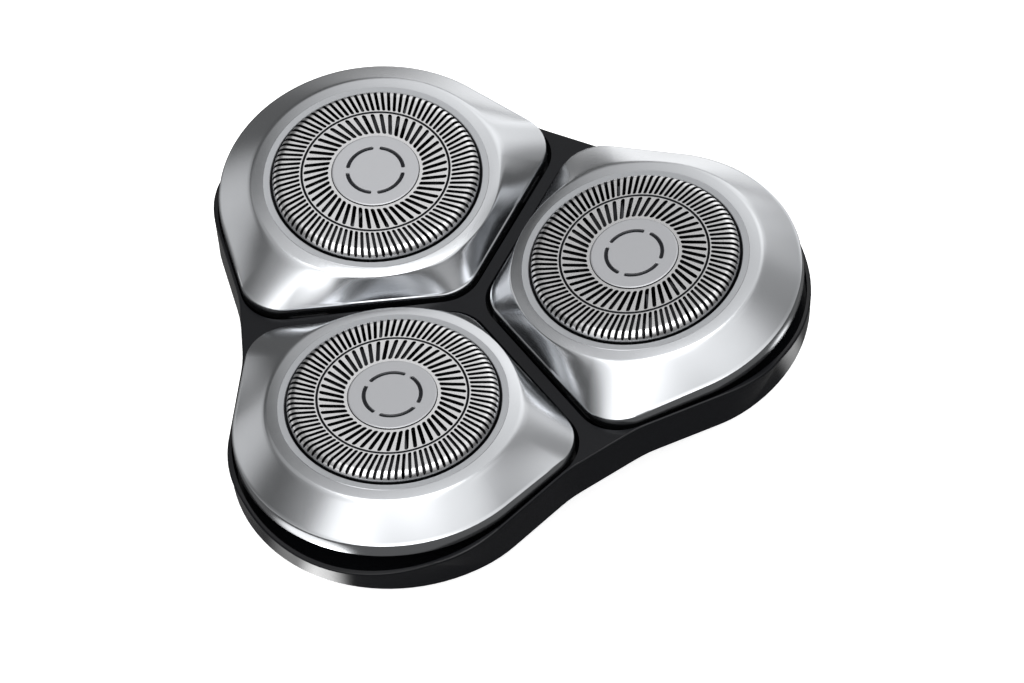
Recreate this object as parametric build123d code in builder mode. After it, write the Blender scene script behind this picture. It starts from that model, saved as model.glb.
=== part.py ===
from build123d import *
from math import acos, atan2, cos, degrees, hypot, pi, radians, sin, sqrt, tan
import os

# Rotary shaver head: three tilting cutting units on a black housing with a gear drive.
# The head axis is +Z, the guards face up and the origin is the centre of the coupling
# collar's end face. Lengths are in millimetres and angles in degrees.

# Layout of the head
UNIT_COUNT = 3
UNIT_LEAN = 3.3
TILT_OUT = 5.0
TILT_IN = 2.5

# Heights of the housing, from the collar's end face up
COLLAR_HEIGHT = 3.6
CASE_DEPTH = 3.2
CASE_FLOOR = 0.8
HOUSING_HEIGHT = 4.2
HOUSING_FLOOR = 1.2
HOUSING_WALL = 0.5
GUARD_RISE = 5.2

# Housing outline at the deck, and at the foot of its leaning wall
DECK_WIDTH = 1.05
DECK_FLANK_WIDTH = 0.55
LOBE_DRAFT = 0.45
FLANK_DRAFT = 0.25
FLANK_ANGLE = 71.0
WAIST_LENGTH = 8.4
WAIST_FOOT_LENGTH = 9.4
LOBE_BLEND_R = 14.0
WAIST_BLEND_R = 14.0
DECK_EDGE_R = 0.2
DIP_START = 8.0
DIP_DROP = 2.0

# Silver cover of a unit, drops are measured down from the guard's top plane
COVER_SHOULDER = 6.2
COVER_FLANK_INSET = 0.34
COVER_CORNER_R = 4.8
COVER_NOSE_R = 4.5
COVER_GAP = 1.7
COVER_SIDE = 3.3
COVER_EDGE_DROP = 3.8
COVER_WALL = 1.6
COVER_SKIN = 0.9
COVER_EDGE_R = 0.2
LIP_GAP = 0.15
LIP_WIDTH = 0.8
LIP_DROP = 0.93
BAND_WIDTH = 1.1
BAND_DROP = 1.08
LIP_THICKNESS = 1.05

# Pocket of the housing under a cover
POCKET_CLEARANCE = 0.45
FLANK_CLEARANCE = 0.2
RIM_LAND = 0.4

# Guard: a slotted steel cap with two tracks, a groove between them and a flange
GUARD_R = 11.0
GUARD_PLATE = 0.4
GUARD_WALL = 0.4
GUARD_HEIGHT = 2.4
GUARD_FLANGE_WIDTH = 0.6
GUARD_FLANGE = 0.4
SHOULDER_WIDTH = 0.95
SHOULDER_DROP = 0.9
GROOVE_R = 7.83
GROOVE_WIDTH = 0.25
GROOVE_DEPTH = 0.15
INNER_SLOTS = 50
INNER_SLOT_FROM = 5.05
INNER_SLOT_TO = 7.5
INNER_SLOT_WIDTH = 0.34
OUTER_SLOTS = 92
OUTER_SLOT_FROM = 8.2
OUTER_SLOT_END = 0.4
OUTER_SLOT_WIDTH = 0.3
SLOT_OFFSET = 1.63

# Centre disc of a guard, with four arc grooves
DISC_R = 4.68
DISC_THICKNESS = 0.5
DISC_RECESS = 0.35
DISC_CHAMFER = 0.18
DISC_ARC_R = 2.95
DISC_ARC_WIDTH = 0.38
DISC_ARC_DEPTH = 0.2
DISC_ARCS = 4
DISC_ARC_GAP = 14.0

# Cutter: two rings of slanted blades on a steel disc, on a plastic carrier
CUTTER_GAP = 0.12
CUTTER_DISC_DROP = 2.5
CUTTER_DISC = 0.4
CUTTER_BORE_R = 3.2
CUTTER_DISC_INSET = 1.1
CUTTER_BLADES = 12
CUTTER_BLADE_THICKNESS = 0.35
CUTTER_RAKE = 0.7
INNER_BLADE_FROM = 5.2
INNER_BLADE_TO = 7.3
OUTER_BLADE_FROM = 8.3
OUTER_BLADE_INSET = 1.2
CARRIER_R = 5.2
CARRIER_DISC = 0.5
HUB_R = 2.2
HUB_DROP = 5.6
SOCKET_FLATS = 3.1
SOCKET_TOP_DROP = 3.1

# Retainer that holds the cutter up in the guard
RETAINER_RING = 0.7
RETAINER_HEIGHT = 2.0
SPOKE_WIDTH = 1.8
SPOKE_THICKNESS = 0.6
BEARING_WALL = 1.0

# Black frame of a unit, with its trunnion pins
FRAME_WALL = 0.85
FRAME_TOP_DROP = 2.95
FRAME_FLANGE = 0.7
FRAME_FLANGE_DROP = 4.4
FRAME_LEDGE = 0.7
TRUNNION_R = 0.8
TRUNNION_DROP = 4.6
TRUNNION_END = 0.3
EAR_GAP = 0.5
EAR_THICKNESS = 1.2
EAR_WIDTH = 3.0
EAR_RISE = 1.3
EAR_SNAP_WIDTH = 1.3

# Gears and spindles
DRIVE_TEETH = 36
UNIT_TEETH = 18
GEAR_THICKNESS = 1.6
GEAR_CLEARANCE = 0.35
TOOTH_SHARE = 0.42
ADDENDUM = 0.9
DEDENDUM = 1.15
PRESSURE_ANGLE = 20.0
DRIVE_HUB_R = 5.0
DRIVE_SOCKET_FLATS = 5.0
DRIVE_SOCKET_DEPTH = 1.5
DRIVE_PIVOT_R = 1.5
DRIVE_PIVOT = 0.9
UNIT_PIVOT_R = 0.9
UNIT_PIVOT = 1.1
GEAR_HUB_R = 2.6
GEAR_HUB_RISE = 0.9
SPINDLE_R = 1.15
SPINDLE_COLLAR_R = 2.3
SPINDLE_COLLAR = 0.5
SPINDLE_COLLAR_RISE = 2.3
SPINDLE_NECK_R = 0.85
SPINDLE_BALL_R = 1.32
SPINDLE_BALL_FLATS = 2.3
SPRING_R = 1.8
SPRING_WIRE = 0.34
SPRING_TURNS = 3

# Coupling collar, gear case and screws
COLLAR_R = 15.0
COLLAR_BORE_R = 12.2
COLLAR_LUGS = 3
LUG_REACH = 0.9
LUG_SPAN = 26.0
LUG_HEIGHT = 1.1
LUG_BASE = 0.7
CASE_WALL = 0.9
CHAMBER_CLEARANCE = 0.5
SCREW_INSET = 0.2
SCREW_BOSS_R = 3.1
SCREW_POST_R = 2.2
SCREW_POST_CAP = 0.5
SCREW_HEAD_R = 1.7
SCREW_HEAD = 1.0
SCREW_R = 0.9
SCREW_LENGTH = 4.3
SCREW_CROSS = 0.5
SCREW_CROSS_DEPTH = 0.5

# Clearances
RUNNING = 0.05
SEAT = 0.05

# Places that follow from the sizes above
UNIT_RADIUS = (GUARD_R + COVER_SIDE + COVER_GAP / 2) / sin(pi / UNIT_COUNT)
SCREW_RADIUS = UNIT_RADIUS - SCREW_INSET
CASE_Z = COLLAR_HEIGHT
FOOT_Z = CASE_Z + CASE_DEPTH
FLOOR_Z = FOOT_Z + HOUSING_FLOOR
DECK_Z = FOOT_Z + HOUSING_HEIGHT
GUARD_Z = DECK_Z + GUARD_RISE
LEAN_SIN = sin(radians(UNIT_LEAN))
LEAN_COS = cos(radians(UNIT_LEAN))
GUARD_FLANGE_R = GUARD_R + GUARD_FLANGE_WIDTH
SHOULDER_R = GUARD_R - SHOULDER_WIDTH
SHOULDER_MID_R = SHOULDER_R + SHOULDER_WIDTH * sin(pi / 4)
SHOULDER_MID_DROP = SHOULDER_DROP * (1 - cos(pi / 4))
OUTER_SLOT_TO = GUARD_R - OUTER_SLOT_END
LIP_R = GUARD_R + LIP_GAP
LIP_FLAT_R = LIP_R + LIP_WIDTH
BAND_R = LIP_FLAT_R + BAND_WIDTH
COVER_R = GUARD_R + COVER_SHOULDER
COVER_FLANK = COVER_R - COVER_FLANK_INSET
LOBE_R = COVER_R + DECK_WIDTH
LOBE_FOOT_R = LOBE_R - LOBE_DRAFT
FLANK = COVER_FLANK + DECK_FLANK_WIDTH
FLANK_FOOT = FLANK + FLANK_DRAFT
RETAINER_R = GUARD_FLANGE_R
FRAME_R = RETAINER_R + SEAT + FRAME_WALL
FRAME_LEDGE_R = RETAINER_R - FRAME_LEDGE
EAR_FROM = FRAME_R + EAR_GAP
TRUNNION_REACH = EAR_FROM + EAR_THICKNESS + TRUNNION_END
CUTTER_DISC_R = GUARD_R - CUTTER_DISC_INSET
OUTER_BLADE_TO = GUARD_R - OUTER_BLADE_INSET
POCKET_SHIFT = TRUNNION_DROP * LEAN_SIN
PIVOT_RADIUS = UNIT_RADIUS + POCKET_SHIFT
PIVOT_Z = GUARD_Z - TRUNNION_DROP * LEAN_COS
GEAR_Z = CASE_Z + CASE_FLOOR + GEAR_CLEARANCE
GEAR_TOP_Z = GEAR_Z + GEAR_THICKNESS
GEAR_MODULE = 2 * PIVOT_RADIUS / (DRIVE_TEETH + UNIT_TEETH)
HUB_TOP_Z = GEAR_TOP_Z + GEAR_HUB_RISE
SPINDLE_COLLAR_Z = HUB_TOP_Z + SPINDLE_COLLAR_RISE
COVER_WALL_DROP = COVER_EDGE_DROP + COVER_WALL
CUTTER_TOP_DROP = GUARD_PLATE + CUTTER_GAP
CARRIER_DROP = CUTTER_DISC_DROP + CUTTER_DISC
BEARING_R = HUB_R + RUNNING
LEDGE_DROP = GUARD_HEIGHT + RETAINER_HEIGHT
FLOOR_LOBE_R = LOBE_FOOT_R + (LOBE_R - LOBE_FOOT_R) * HOUSING_FLOOR / HOUSING_HEIGHT
DIP_REACH = LOBE_R - DIP_START
DIP_R = (DIP_REACH**2 + DIP_DROP**2) / (2 * DIP_DROP)
DIP_TURN = 1.2 * atan2(DIP_REACH, DIP_R - DIP_DROP)
SCREW_HOLE_DEPTH = SCREW_LENGTH + SCREW_HEAD + 2 * SEAT - CASE_DEPTH
UNIT_ANGLES = [360 / UNIT_COUNT * index for index in range(UNIT_COUNT)]
WAIST_ANGLES = [angle + 180 / UNIT_COUNT for angle in UNIT_ANGLES]

os.makedirs("parts", exist_ok=True)


def polar(radius, angle):
    """Return the point at a radius and an angle about the origin."""
    return (radius * cos(radians(angle)), radius * sin(radians(angle)))


def turned(point, angle):
    """Return a point turned about the origin."""
    x, y = point
    c, s = cos(radians(angle)), sin(radians(angle))
    return (x * c - y * s, x * s + y * c)


def crossing(normal_a, reach_a, normal_b, reach_b):
    """Return where two lines meet, each given by its normal's angle and its reach."""
    ax, ay = polar(1, normal_a)
    bx, by = polar(1, normal_b)
    det = ax * by - ay * bx
    return ((reach_a * by - reach_b * ay) / det, (ax * reach_b - bx * reach_a) / det)


def housing_outline(sketch, lobe_r, flank, waist_length):
    """Draw the housing's three-lobed outline in a sketch."""
    half = FLANK_ANGLE - degrees(acos(flank / lobe_r))
    flank_reach = flank + UNIT_RADIUS * cos(radians(FLANK_ANGLE))
    side = 180 / UNIT_COUNT
    bend = radians(FLANK_ANGLE - side)
    waist = (flank_reach + waist_length / 2 * sin(bend)) / cos(bend)
    knee = crossing(FLANK_ANGLE, flank_reach, side, waist)
    x, y = polar(lobe_r, half)
    with BuildLine() as edge:
        for angle in UNIT_ANGLES:
            lobe_start = turned((UNIT_RADIUS + x, -y), angle)
            lobe_top = turned((UNIT_RADIUS + lobe_r, 0), angle)
            lobe_end = turned((UNIT_RADIUS + x, y), angle)
            left_knee = turned(knee, angle)
            next_knee = turned((knee[0], -knee[1]), angle + 2 * side)
            next_start = turned((UNIT_RADIUS + x, -y), angle + 2 * side)
            ThreePointArc(lobe_start, lobe_top, lobe_end)
            Line(lobe_end, left_knee)
            Line(left_knee, next_knee)
            Line(next_knee, next_start)
    make_face(edge.edges())
    knees = sketch.vertices().filter_by(lambda v: hypot(v.X, v.Y) < hypot(*knee) + SEAT)
    fillet(knees, WAIST_BLEND_R)
    shoulders = sketch.vertices().filter_by(lambda v: hypot(v.X, v.Y) > hypot(UNIT_RADIUS + x, y) - SEAT)
    fillet(shoulders, LOBE_BLEND_R)


def unit_outline(sketch, outer_r, flank, side_gap, corner_r, nose_r):
    """Draw a unit's rounded sector in a sketch, its flanks tangent to its outer arc."""
    shift = (outer_r - flank) / (1 - cos(radians(FLANK_ANGLE)))
    x, y = polar(outer_r - shift, FLANK_ANGLE)
    x += shift
    side = 180 / UNIT_COUNT
    side_reach = UNIT_RADIUS * sin(radians(side)) - side_gap / 2
    nose = (side_gap / 2 / sin(radians(side)) - UNIT_RADIUS, 0)
    corner = crossing(FLANK_ANGLE, flank, side + 90, side_reach)
    with BuildLine() as edge:
        ThreePointArc((x, -y), (outer_r, 0), (x, y))
        Line((x, y), corner)
        Line(corner, nose)
        Line(nose, (corner[0], -corner[1]))
        Line((corner[0], -corner[1]), (x, -y))
    make_face(edge.edges())
    fillet(sketch.vertices().sort_by(Axis.X)[0], nose_r)
    corners = sketch.vertices().filter_by(lambda v: abs(v.X - corner[0]) < SEAT)
    fillet(corners, corner_r)


def ring_like(outline, radius, height):
    """Return a disc split where an outline has its corners, for a loft between the two."""
    angles = sorted(degrees(atan2(v.Y, v.X)) for v in outline.vertices())
    with BuildLine(Plane.XY.offset(height)) as edge:
        for index, angle in enumerate(angles):
            following = angles[(index + 1) % len(angles)] + (360 if index + 1 == len(angles) else 0)
            middle = (angle + following) / 2
            ThreePointArc(polar(radius, angle), polar(radius, middle), polar(radius, following))
    return Face(Wire(edge.edges()))


def gear_profile(teeth, first_angle):
    """Draw a spur gear's straight-flanked profile in the open sketch."""
    pitch_r = GEAR_MODULE * teeth / 2
    tip_r = pitch_r + ADDENDUM * GEAR_MODULE
    root_r = pitch_r - DEDENDUM * GEAR_MODULE
    half_pitch = TOOTH_SHARE * pi * GEAR_MODULE / 2
    half_tip = half_pitch - (tip_r - pitch_r) * tan(radians(PRESSURE_ANGLE))
    half_root = half_pitch + (pitch_r - root_r) * tan(radians(PRESSURE_ANGLE))
    points = []
    for index in range(teeth):
        centre = first_angle + 360 / teeth * index
        for radius, half in ((root_r, -half_root), (tip_r, -half_tip), (tip_r, half_tip), (root_r, half_root)):
            points.append(polar(radius, centre + degrees(half / radius)))
    with BuildLine() as edge:
        Polyline(*points, close=True)
    make_face(edge.edges())


def placed(piece, frame):
    """Return a copy of a piece that was drawn about the origin, moved to a unit's frame."""
    with BuildPart() as copy:
        with Locations(frame.location):
            add(piece.part)
    return copy


def export(piece, name):
    """Label a finished piece and write it to its STEP file."""
    piece.part.label = name
    export_step(piece.part, f"parts/{name}.step")


# Frames of the units: origin at the guard's top centre, x outward, z leaning to the head axis
UNIT_FRAMES = []
for angle in UNIT_ANGLES:
    x, y = polar(1, angle)
    UNIT_FRAMES.append(
        Plane(
            origin=(UNIT_RADIUS * x, UNIT_RADIUS * y, GUARD_Z),
            x_dir=(LEAN_COS * x, LEAN_COS * y, LEAN_SIN),
            z_dir=(-LEAN_SIN * x, -LEAN_SIN * y, LEAN_COS),
        )
    )

# Pocket: the hollow of the housing under a unit, centred on the unit's pivot and narrowing to its floor
with BuildPart() as pocket:
    with BuildSketch(Plane.XY.offset(FLOOR_Z)) as pocket_floor:
        unit_outline(
            pocket_floor,
            FLOOR_LOBE_R - HOUSING_WALL - POCKET_SHIFT,
            COVER_FLANK,
            COVER_GAP,
            COVER_CORNER_R,
            COVER_NOSE_R,
        )
    with BuildSketch(Plane.XY.offset(DECK_Z)) as pocket_mouth:
        unit_outline(
            pocket_mouth,
            LOBE_R - RIM_LAND - POCKET_SHIFT,
            COVER_FLANK + FLANK_CLEARANCE,
            COVER_GAP - 2 * POCKET_CLEARANCE,
            COVER_CORNER_R,
            COVER_NOSE_R,
        )
    loft()

# Housing: a shallow black moulding with a pocket under each unit and ears for its trunnions. Its top
# edge dips at the end of each lobe, where the unit tilts down.
with BuildPart() as housing:
    with BuildSketch(Plane.XY.offset(FOOT_Z)) as foot:
        housing_outline(foot, LOBE_FOOT_R, FLANK_FOOT, WAIST_FOOT_LENGTH)
    with BuildSketch(Plane.XY.offset(DECK_Z)) as deck:
        housing_outline(deck, LOBE_R, FLANK, WAIST_LENGTH)
    loft()
    for angle in UNIT_ANGLES:
        lobe_plane = Plane(
            origin=polar(UNIT_RADIUS, angle) + (DECK_Z,),
            x_dir=polar(1, angle) + (0,),
            z_dir=turned((0, 1), angle) + (0,),
        )
        with BuildSketch(lobe_plane):
            with BuildLine() as dip:
                far = DIP_START + DIP_R * sin(DIP_TURN)
                drop = DIP_R * (1 - cos(DIP_TURN))
                middle = (DIP_START + DIP_R * sin(DIP_TURN / 2), DIP_R * (1 - cos(DIP_TURN / 2)))
                ThreePointArc((DIP_START, 0), middle, (far, drop))
                Line((far, drop), (far, 0))
                Line((far, 0), (DIP_START, 0))
            make_face(dip.edges())
        extrude(amount=LOBE_R, both=True, mode=Mode.SUBTRACT)
    tops = housing.faces().filter_by(lambda face: face.normal_at().Z > cos(DIP_TURN))
    rim = tops.edges().filter_by(lambda edge: not (edge.geom_type == GeomType.LINE and edge.length > FLANK))
    fillet(rim, DECK_EDGE_R)
    with PolarLocations(UNIT_RADIUS + POCKET_SHIFT, UNIT_COUNT):
        add(pocket.part, mode=Mode.SUBTRACT)
    for angle in UNIT_ANGLES:
        x, y = polar(PIVOT_RADIUS, angle)
        ear_plane = Plane(origin=(x, y, PIVOT_Z), x_dir=polar(1, angle) + (0,), z_dir=turned((0, 1), angle) + (0,))
        for side in (1, -1):
            start = ear_plane.offset(side * EAR_FROM)
            with BuildSketch(start) as ear:
                drop = PIVOT_Z - FLOOR_Z
                with Locations((0, (drop - EAR_RISE) / 2)):
                    Rectangle(EAR_WIDTH, drop + EAR_RISE)
                Circle(TRUNNION_R + RUNNING, mode=Mode.SUBTRACT)
                with Locations((0, -EAR_RISE)):
                    Rectangle(EAR_SNAP_WIDTH, 2 * EAR_RISE, mode=Mode.SUBTRACT)
            extrude(amount=side * EAR_THICKNESS)
    with BuildSketch(Plane.XY.offset(FOOT_Z)):
        with PolarLocations(PIVOT_RADIUS, UNIT_COUNT):
            Circle(GEAR_HUB_R + RUNNING)
    extrude(amount=HOUSING_FLOOR, mode=Mode.SUBTRACT)
    with BuildSketch(Plane.XY.offset(FOOT_Z)):
        Circle(DRIVE_PIVOT_R)
    extrude(amount=-DRIVE_PIVOT)
    with BuildSketch(Plane.XY.offset(FOOT_Z)):
        with PolarLocations(SCREW_RADIUS, UNIT_COUNT, start_angle=WAIST_ANGLES[0]):
            Circle(SCREW_POST_R)
    extrude(amount=SCREW_HOLE_DEPTH + SCREW_POST_CAP)
    with BuildSketch(Plane.XY.offset(FOOT_Z)):
        with PolarLocations(SCREW_RADIUS, UNIT_COUNT, start_angle=WAIST_ANGLES[0]):
            Circle(SCREW_R + SEAT)
    extrude(amount=SCREW_HOLE_DEPTH, mode=Mode.SUBTRACT)
export(housing, "housing")

# Gear case: the pan under the gears, moulded with the coupling collar
with BuildPart() as gear_case:
    with BuildSketch(Plane.XY):
        Circle(COLLAR_R)
        Circle(COLLAR_BORE_R, mode=Mode.SUBTRACT)
    extrude(amount=CASE_Z)
    with BuildSketch(Plane.XY.offset(LUG_BASE)):
        with PolarLocations(0, COLLAR_LUGS, start_angle=WAIST_ANGLES[0]):
            with BuildLine() as lug:
                outer = CenterArc((0, 0), COLLAR_R + LUG_REACH, -LUG_SPAN / 2, LUG_SPAN)
                inner = CenterArc((0, 0), COLLAR_R - LUG_REACH, -LUG_SPAN / 2, LUG_SPAN)
                Line(outer @ 0, inner @ 0)
                Line(outer @ 1, inner @ 1)
            make_face(lug.edges())
    extrude(amount=LUG_HEIGHT)
    tip_r = GEAR_MODULE * (DRIVE_TEETH / 2 + ADDENDUM) + CHAMBER_CLEARANCE
    unit_tip_r = GEAR_MODULE * (UNIT_TEETH / 2 + ADDENDUM) + CHAMBER_CLEARANCE
    with BuildSketch(Plane.XY.offset(CASE_Z)):
        Circle(max(COLLAR_R, tip_r + CASE_WALL))
        with PolarLocations(PIVOT_RADIUS, UNIT_COUNT):
            Circle(unit_tip_r + CASE_WALL)
        with PolarLocations(SCREW_RADIUS, UNIT_COUNT, start_angle=WAIST_ANGLES[0]):
            Circle(SCREW_BOSS_R)
        with PolarLocations(SCREW_RADIUS / 2, UNIT_COUNT, start_angle=WAIST_ANGLES[0]):
            Rectangle(SCREW_RADIUS, 2 * SCREW_BOSS_R)
    extrude(amount=CASE_DEPTH)
    with BuildSketch(Plane.XY.offset(CASE_Z + CASE_FLOOR)):
        Circle(tip_r)
        with PolarLocations(PIVOT_RADIUS, UNIT_COUNT):
            Circle(unit_tip_r)
        with PolarLocations(SCREW_RADIUS, UNIT_COUNT, start_angle=WAIST_ANGLES[0]):
            Circle(SCREW_BOSS_R, mode=Mode.SUBTRACT)
    extrude(amount=CASE_DEPTH - CASE_FLOOR, mode=Mode.SUBTRACT)
    with BuildSketch(Plane.XY.offset(CASE_Z + CASE_FLOOR)):
        with PolarLocations(PIVOT_RADIUS, UNIT_COUNT):
            Circle(UNIT_PIVOT_R)
    extrude(amount=UNIT_PIVOT + GEAR_CLEARANCE)
    with BuildSketch(Plane.XY.offset(CASE_Z)):
        Circle(DRIVE_HUB_R + RUNNING)
    extrude(amount=CASE_FLOOR, mode=Mode.SUBTRACT)
    with Locations(Plane.XY.offset(CASE_Z).rotated((180, 0, 0))):
        with PolarLocations(SCREW_RADIUS, UNIT_COUNT, start_angle=WAIST_ANGLES[0]):
            CounterBoreHole(SCREW_R + SEAT, SCREW_HEAD_R + SEAT, SCREW_HEAD + SEAT, CASE_DEPTH)
export(gear_case, "gear_case")

# Screws: three alike, up through the gear case into the housing's posts between the pockets
with BuildPart() as case_screws:
    with BuildSketch(Plane.XY.offset(CASE_Z + SEAT)):
        with PolarLocations(SCREW_RADIUS, UNIT_COUNT, start_angle=WAIST_ANGLES[0]):
            Circle(SCREW_HEAD_R)
            Rectangle(SCREW_HEAD_R, SCREW_CROSS, mode=Mode.SUBTRACT)
            Rectangle(SCREW_CROSS, SCREW_HEAD_R, mode=Mode.SUBTRACT)
    extrude(amount=SCREW_CROSS_DEPTH)
    with BuildSketch(Plane.XY.offset(CASE_Z + SEAT + SCREW_CROSS_DEPTH)):
        with PolarLocations(SCREW_RADIUS, UNIT_COUNT, start_angle=WAIST_ANGLES[0]):
            Circle(SCREW_HEAD_R)
    extrude(amount=SCREW_HEAD - SCREW_CROSS_DEPTH)
    with BuildSketch(Plane.XY.offset(CASE_Z + SEAT + SCREW_HEAD)):
        with PolarLocations(SCREW_RADIUS, UNIT_COUNT, start_angle=WAIST_ANGLES[0]):
            Circle(SCREW_R)
    extrude(amount=SCREW_LENGTH)
export(case_screws, "case_screws")

# Drive gear: turned by the handle's shaft in its hexagonal socket
with BuildPart() as drive_gear:
    with BuildSketch(Plane.XY.offset(GEAR_Z)):
        gear_profile(DRIVE_TEETH, 0)
    extrude(amount=GEAR_THICKNESS)
    with BuildSketch(Plane.XY.offset(CASE_Z + RUNNING)):
        Circle(DRIVE_HUB_R)
    extrude(amount=GEAR_Z - CASE_Z - RUNNING)
    with BuildSketch(Plane.XY.offset(CASE_Z + RUNNING)):
        RegularPolygon(DRIVE_SOCKET_FLATS / 2, 6, major_radius=False)
    extrude(amount=DRIVE_SOCKET_DEPTH, mode=Mode.SUBTRACT)
    with BuildSketch(Plane.XY.offset(GEAR_TOP_Z)):
        Circle(DRIVE_PIVOT_R + RUNNING)
    extrude(amount=GEAR_CLEARANCE - DRIVE_PIVOT - RUNNING, mode=Mode.SUBTRACT)
export(drive_gear, "drive_gear")

# Unit gears, spindles and spindle springs, upright under each unit's pivot
for tag, angle in enumerate(UNIT_ANGLES, start=1):
    x, y = polar(PIVOT_RADIUS, angle)
    axis_plane = Plane(origin=(x, y, 0), x_dir=polar(1, angle) + (0,), z_dir=(0, 0, 1))
    with BuildPart() as unit_gear:
        with BuildSketch(axis_plane.offset(GEAR_Z)):
            gear_profile(UNIT_TEETH, 180 + 180 / UNIT_TEETH)
        extrude(amount=GEAR_THICKNESS)
        with BuildSketch(axis_plane.offset(GEAR_TOP_Z)):
            Circle(GEAR_HUB_R)
        extrude(amount=GEAR_HUB_RISE)
        with BuildSketch(axis_plane.offset(GEAR_Z)):
            Circle(UNIT_PIVOT_R + RUNNING)
        extrude(amount=UNIT_PIVOT + RUNNING, mode=Mode.SUBTRACT)
    export(unit_gear, f"unit_gear_{tag}")
    with BuildPart() as spindle:
        with BuildSketch(axis_plane.offset(HUB_TOP_Z)):
            Circle(SPINDLE_R)
        extrude(amount=SPINDLE_COLLAR_RISE)
        with BuildSketch(axis_plane.offset(SPINDLE_COLLAR_Z)):
            Circle(SPINDLE_COLLAR_R)
        extrude(amount=SPINDLE_COLLAR)
        with BuildSketch(axis_plane.offset(SPINDLE_COLLAR_Z + SPINDLE_COLLAR)):
            Circle(SPINDLE_NECK_R)
        extrude(amount=PIVOT_Z - SPINDLE_COLLAR_Z - SPINDLE_COLLAR)
        with Locations((x, y, PIVOT_Z)):
            ball = Sphere(SPINDLE_BALL_R, mode=Mode.PRIVATE)
        with BuildSketch(axis_plane.offset(PIVOT_Z - SPINDLE_BALL_R)) as flats:
            RegularPolygon(SPINDLE_BALL_FLATS / 2, 6, major_radius=False)
        hexagon = extrude(flats.sketch, amount=2 * SPINDLE_BALL_R, mode=Mode.PRIVATE)
        add(ball & hexagon)
    export(spindle, f"spindle_{tag}")
    with BuildPart() as spring:
        rise = SPINDLE_COLLAR_RISE - 2 * SEAT - SPRING_WIRE
        with BuildLine() as coil:
            Helix(rise / SPRING_TURNS, rise, SPRING_R, center=(x, y, HUB_TOP_Z + SEAT + SPRING_WIRE / 2))
        with BuildSketch(Plane(origin=coil.line @ 0, z_dir=coil.line % 0)):
            Rectangle(SPRING_WIRE, SPRING_WIRE)
        sweep(path=coil.line)
    export(spring, f"spindle_spring_{tag}")

# Cover: the silver shell of a unit, drawn about the guard's top centre
with BuildPart() as cover:
    with BuildSketch(Plane.XY.offset(-COVER_EDGE_DROP)) as cover_edge:
        unit_outline(cover_edge, COVER_R, COVER_FLANK, COVER_GAP, COVER_CORNER_R, COVER_NOSE_R)
    extrude(amount=-COVER_WALL)
    loft([cover_edge.sketch.face(), ring_like(cover_edge, BAND_R, -BAND_DROP)])
    fillet(cover.faces().sort_by(Axis.Z)[0].edges(), COVER_EDGE_R)
    with BuildSketch(Plane.XZ):
        with BuildLine() as lip:
            Polyline(
                (LIP_R, -LIP_DROP),
                (LIP_FLAT_R, -LIP_DROP),
                (BAND_R, -BAND_DROP),
                (BAND_R, -BAND_DROP - SEAT),
                (LIP_R, -BAND_DROP - SEAT),
                close=True,
            )
        make_face(lip.edges())
    revolve(axis=Axis.Z)
    with BuildSketch(Plane.XY.offset(-COVER_EDGE_DROP)) as cavity_edge:
        unit_outline(
            cavity_edge,
            COVER_R - COVER_SKIN,
            COVER_FLANK - COVER_SKIN,
            COVER_GAP + 2 * COVER_SKIN,
            COVER_CORNER_R - COVER_SKIN,
            COVER_NOSE_R - COVER_SKIN,
        )
    extrude(amount=-COVER_WALL, mode=Mode.SUBTRACT)
    loft(
        [cavity_edge.sketch.face(), ring_like(cavity_edge, BAND_R - COVER_SKIN, -LIP_DROP - LIP_THICKNESS)],
        mode=Mode.SUBTRACT,
    )
    with BuildSketch(Plane.XY):
        Circle(LIP_R)
    extrude(amount=-COVER_WALL_DROP, mode=Mode.SUBTRACT)

# Frame: the black carrier inside a cover, with the trunnion pins that the unit tilts on
with BuildPart() as frame:
    with BuildSketch(Plane.XY.offset(-FRAME_FLANGE_DROP)) as flange:
        unit_outline(
            flange,
            COVER_R - COVER_SKIN - SEAT,
            COVER_FLANK - COVER_SKIN - SEAT,
            COVER_GAP + 2 * (COVER_SKIN + SEAT),
            COVER_CORNER_R - COVER_SKIN - SEAT,
            COVER_NOSE_R - COVER_SKIN - SEAT,
        )
        with Locations((0, EAR_FROM + EAR_THICKNESS / 2), (0, -EAR_FROM - EAR_THICKNESS / 2)):
            Rectangle(2 * EAR_WIDTH, EAR_THICKNESS + 4 * FLANK_CLEARANCE, mode=Mode.SUBTRACT)
    extrude(amount=-FRAME_FLANGE)
    with BuildSketch(Plane.XY.offset(-FRAME_TOP_DROP)):
        Circle(FRAME_R)
    extrude(amount=-(FRAME_FLANGE_DROP + FRAME_FLANGE - FRAME_TOP_DROP))
    with BuildSketch(Plane.XY.offset(-FRAME_TOP_DROP)):
        Circle(RETAINER_R + SEAT)
    extrude(amount=-(LEDGE_DROP - FRAME_TOP_DROP), mode=Mode.SUBTRACT)
    with BuildSketch(Plane.XY.offset(-LEDGE_DROP)):
        Circle(FRAME_LEDGE_R)
    extrude(amount=-2 * FRAME_FLANGE, mode=Mode.SUBTRACT)
    with BuildSketch(Plane.XZ):
        with Locations((0, -TRUNNION_DROP)):
            Circle(TRUNNION_R)
    extrude(amount=TRUNNION_REACH, both=True)
    with BuildSketch(Plane.XZ):
        with Locations((0, -TRUNNION_DROP)):
            Circle(TRUNNION_R + SEAT)
    extrude(amount=RETAINER_R + SEAT, both=True, mode=Mode.SUBTRACT)

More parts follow.
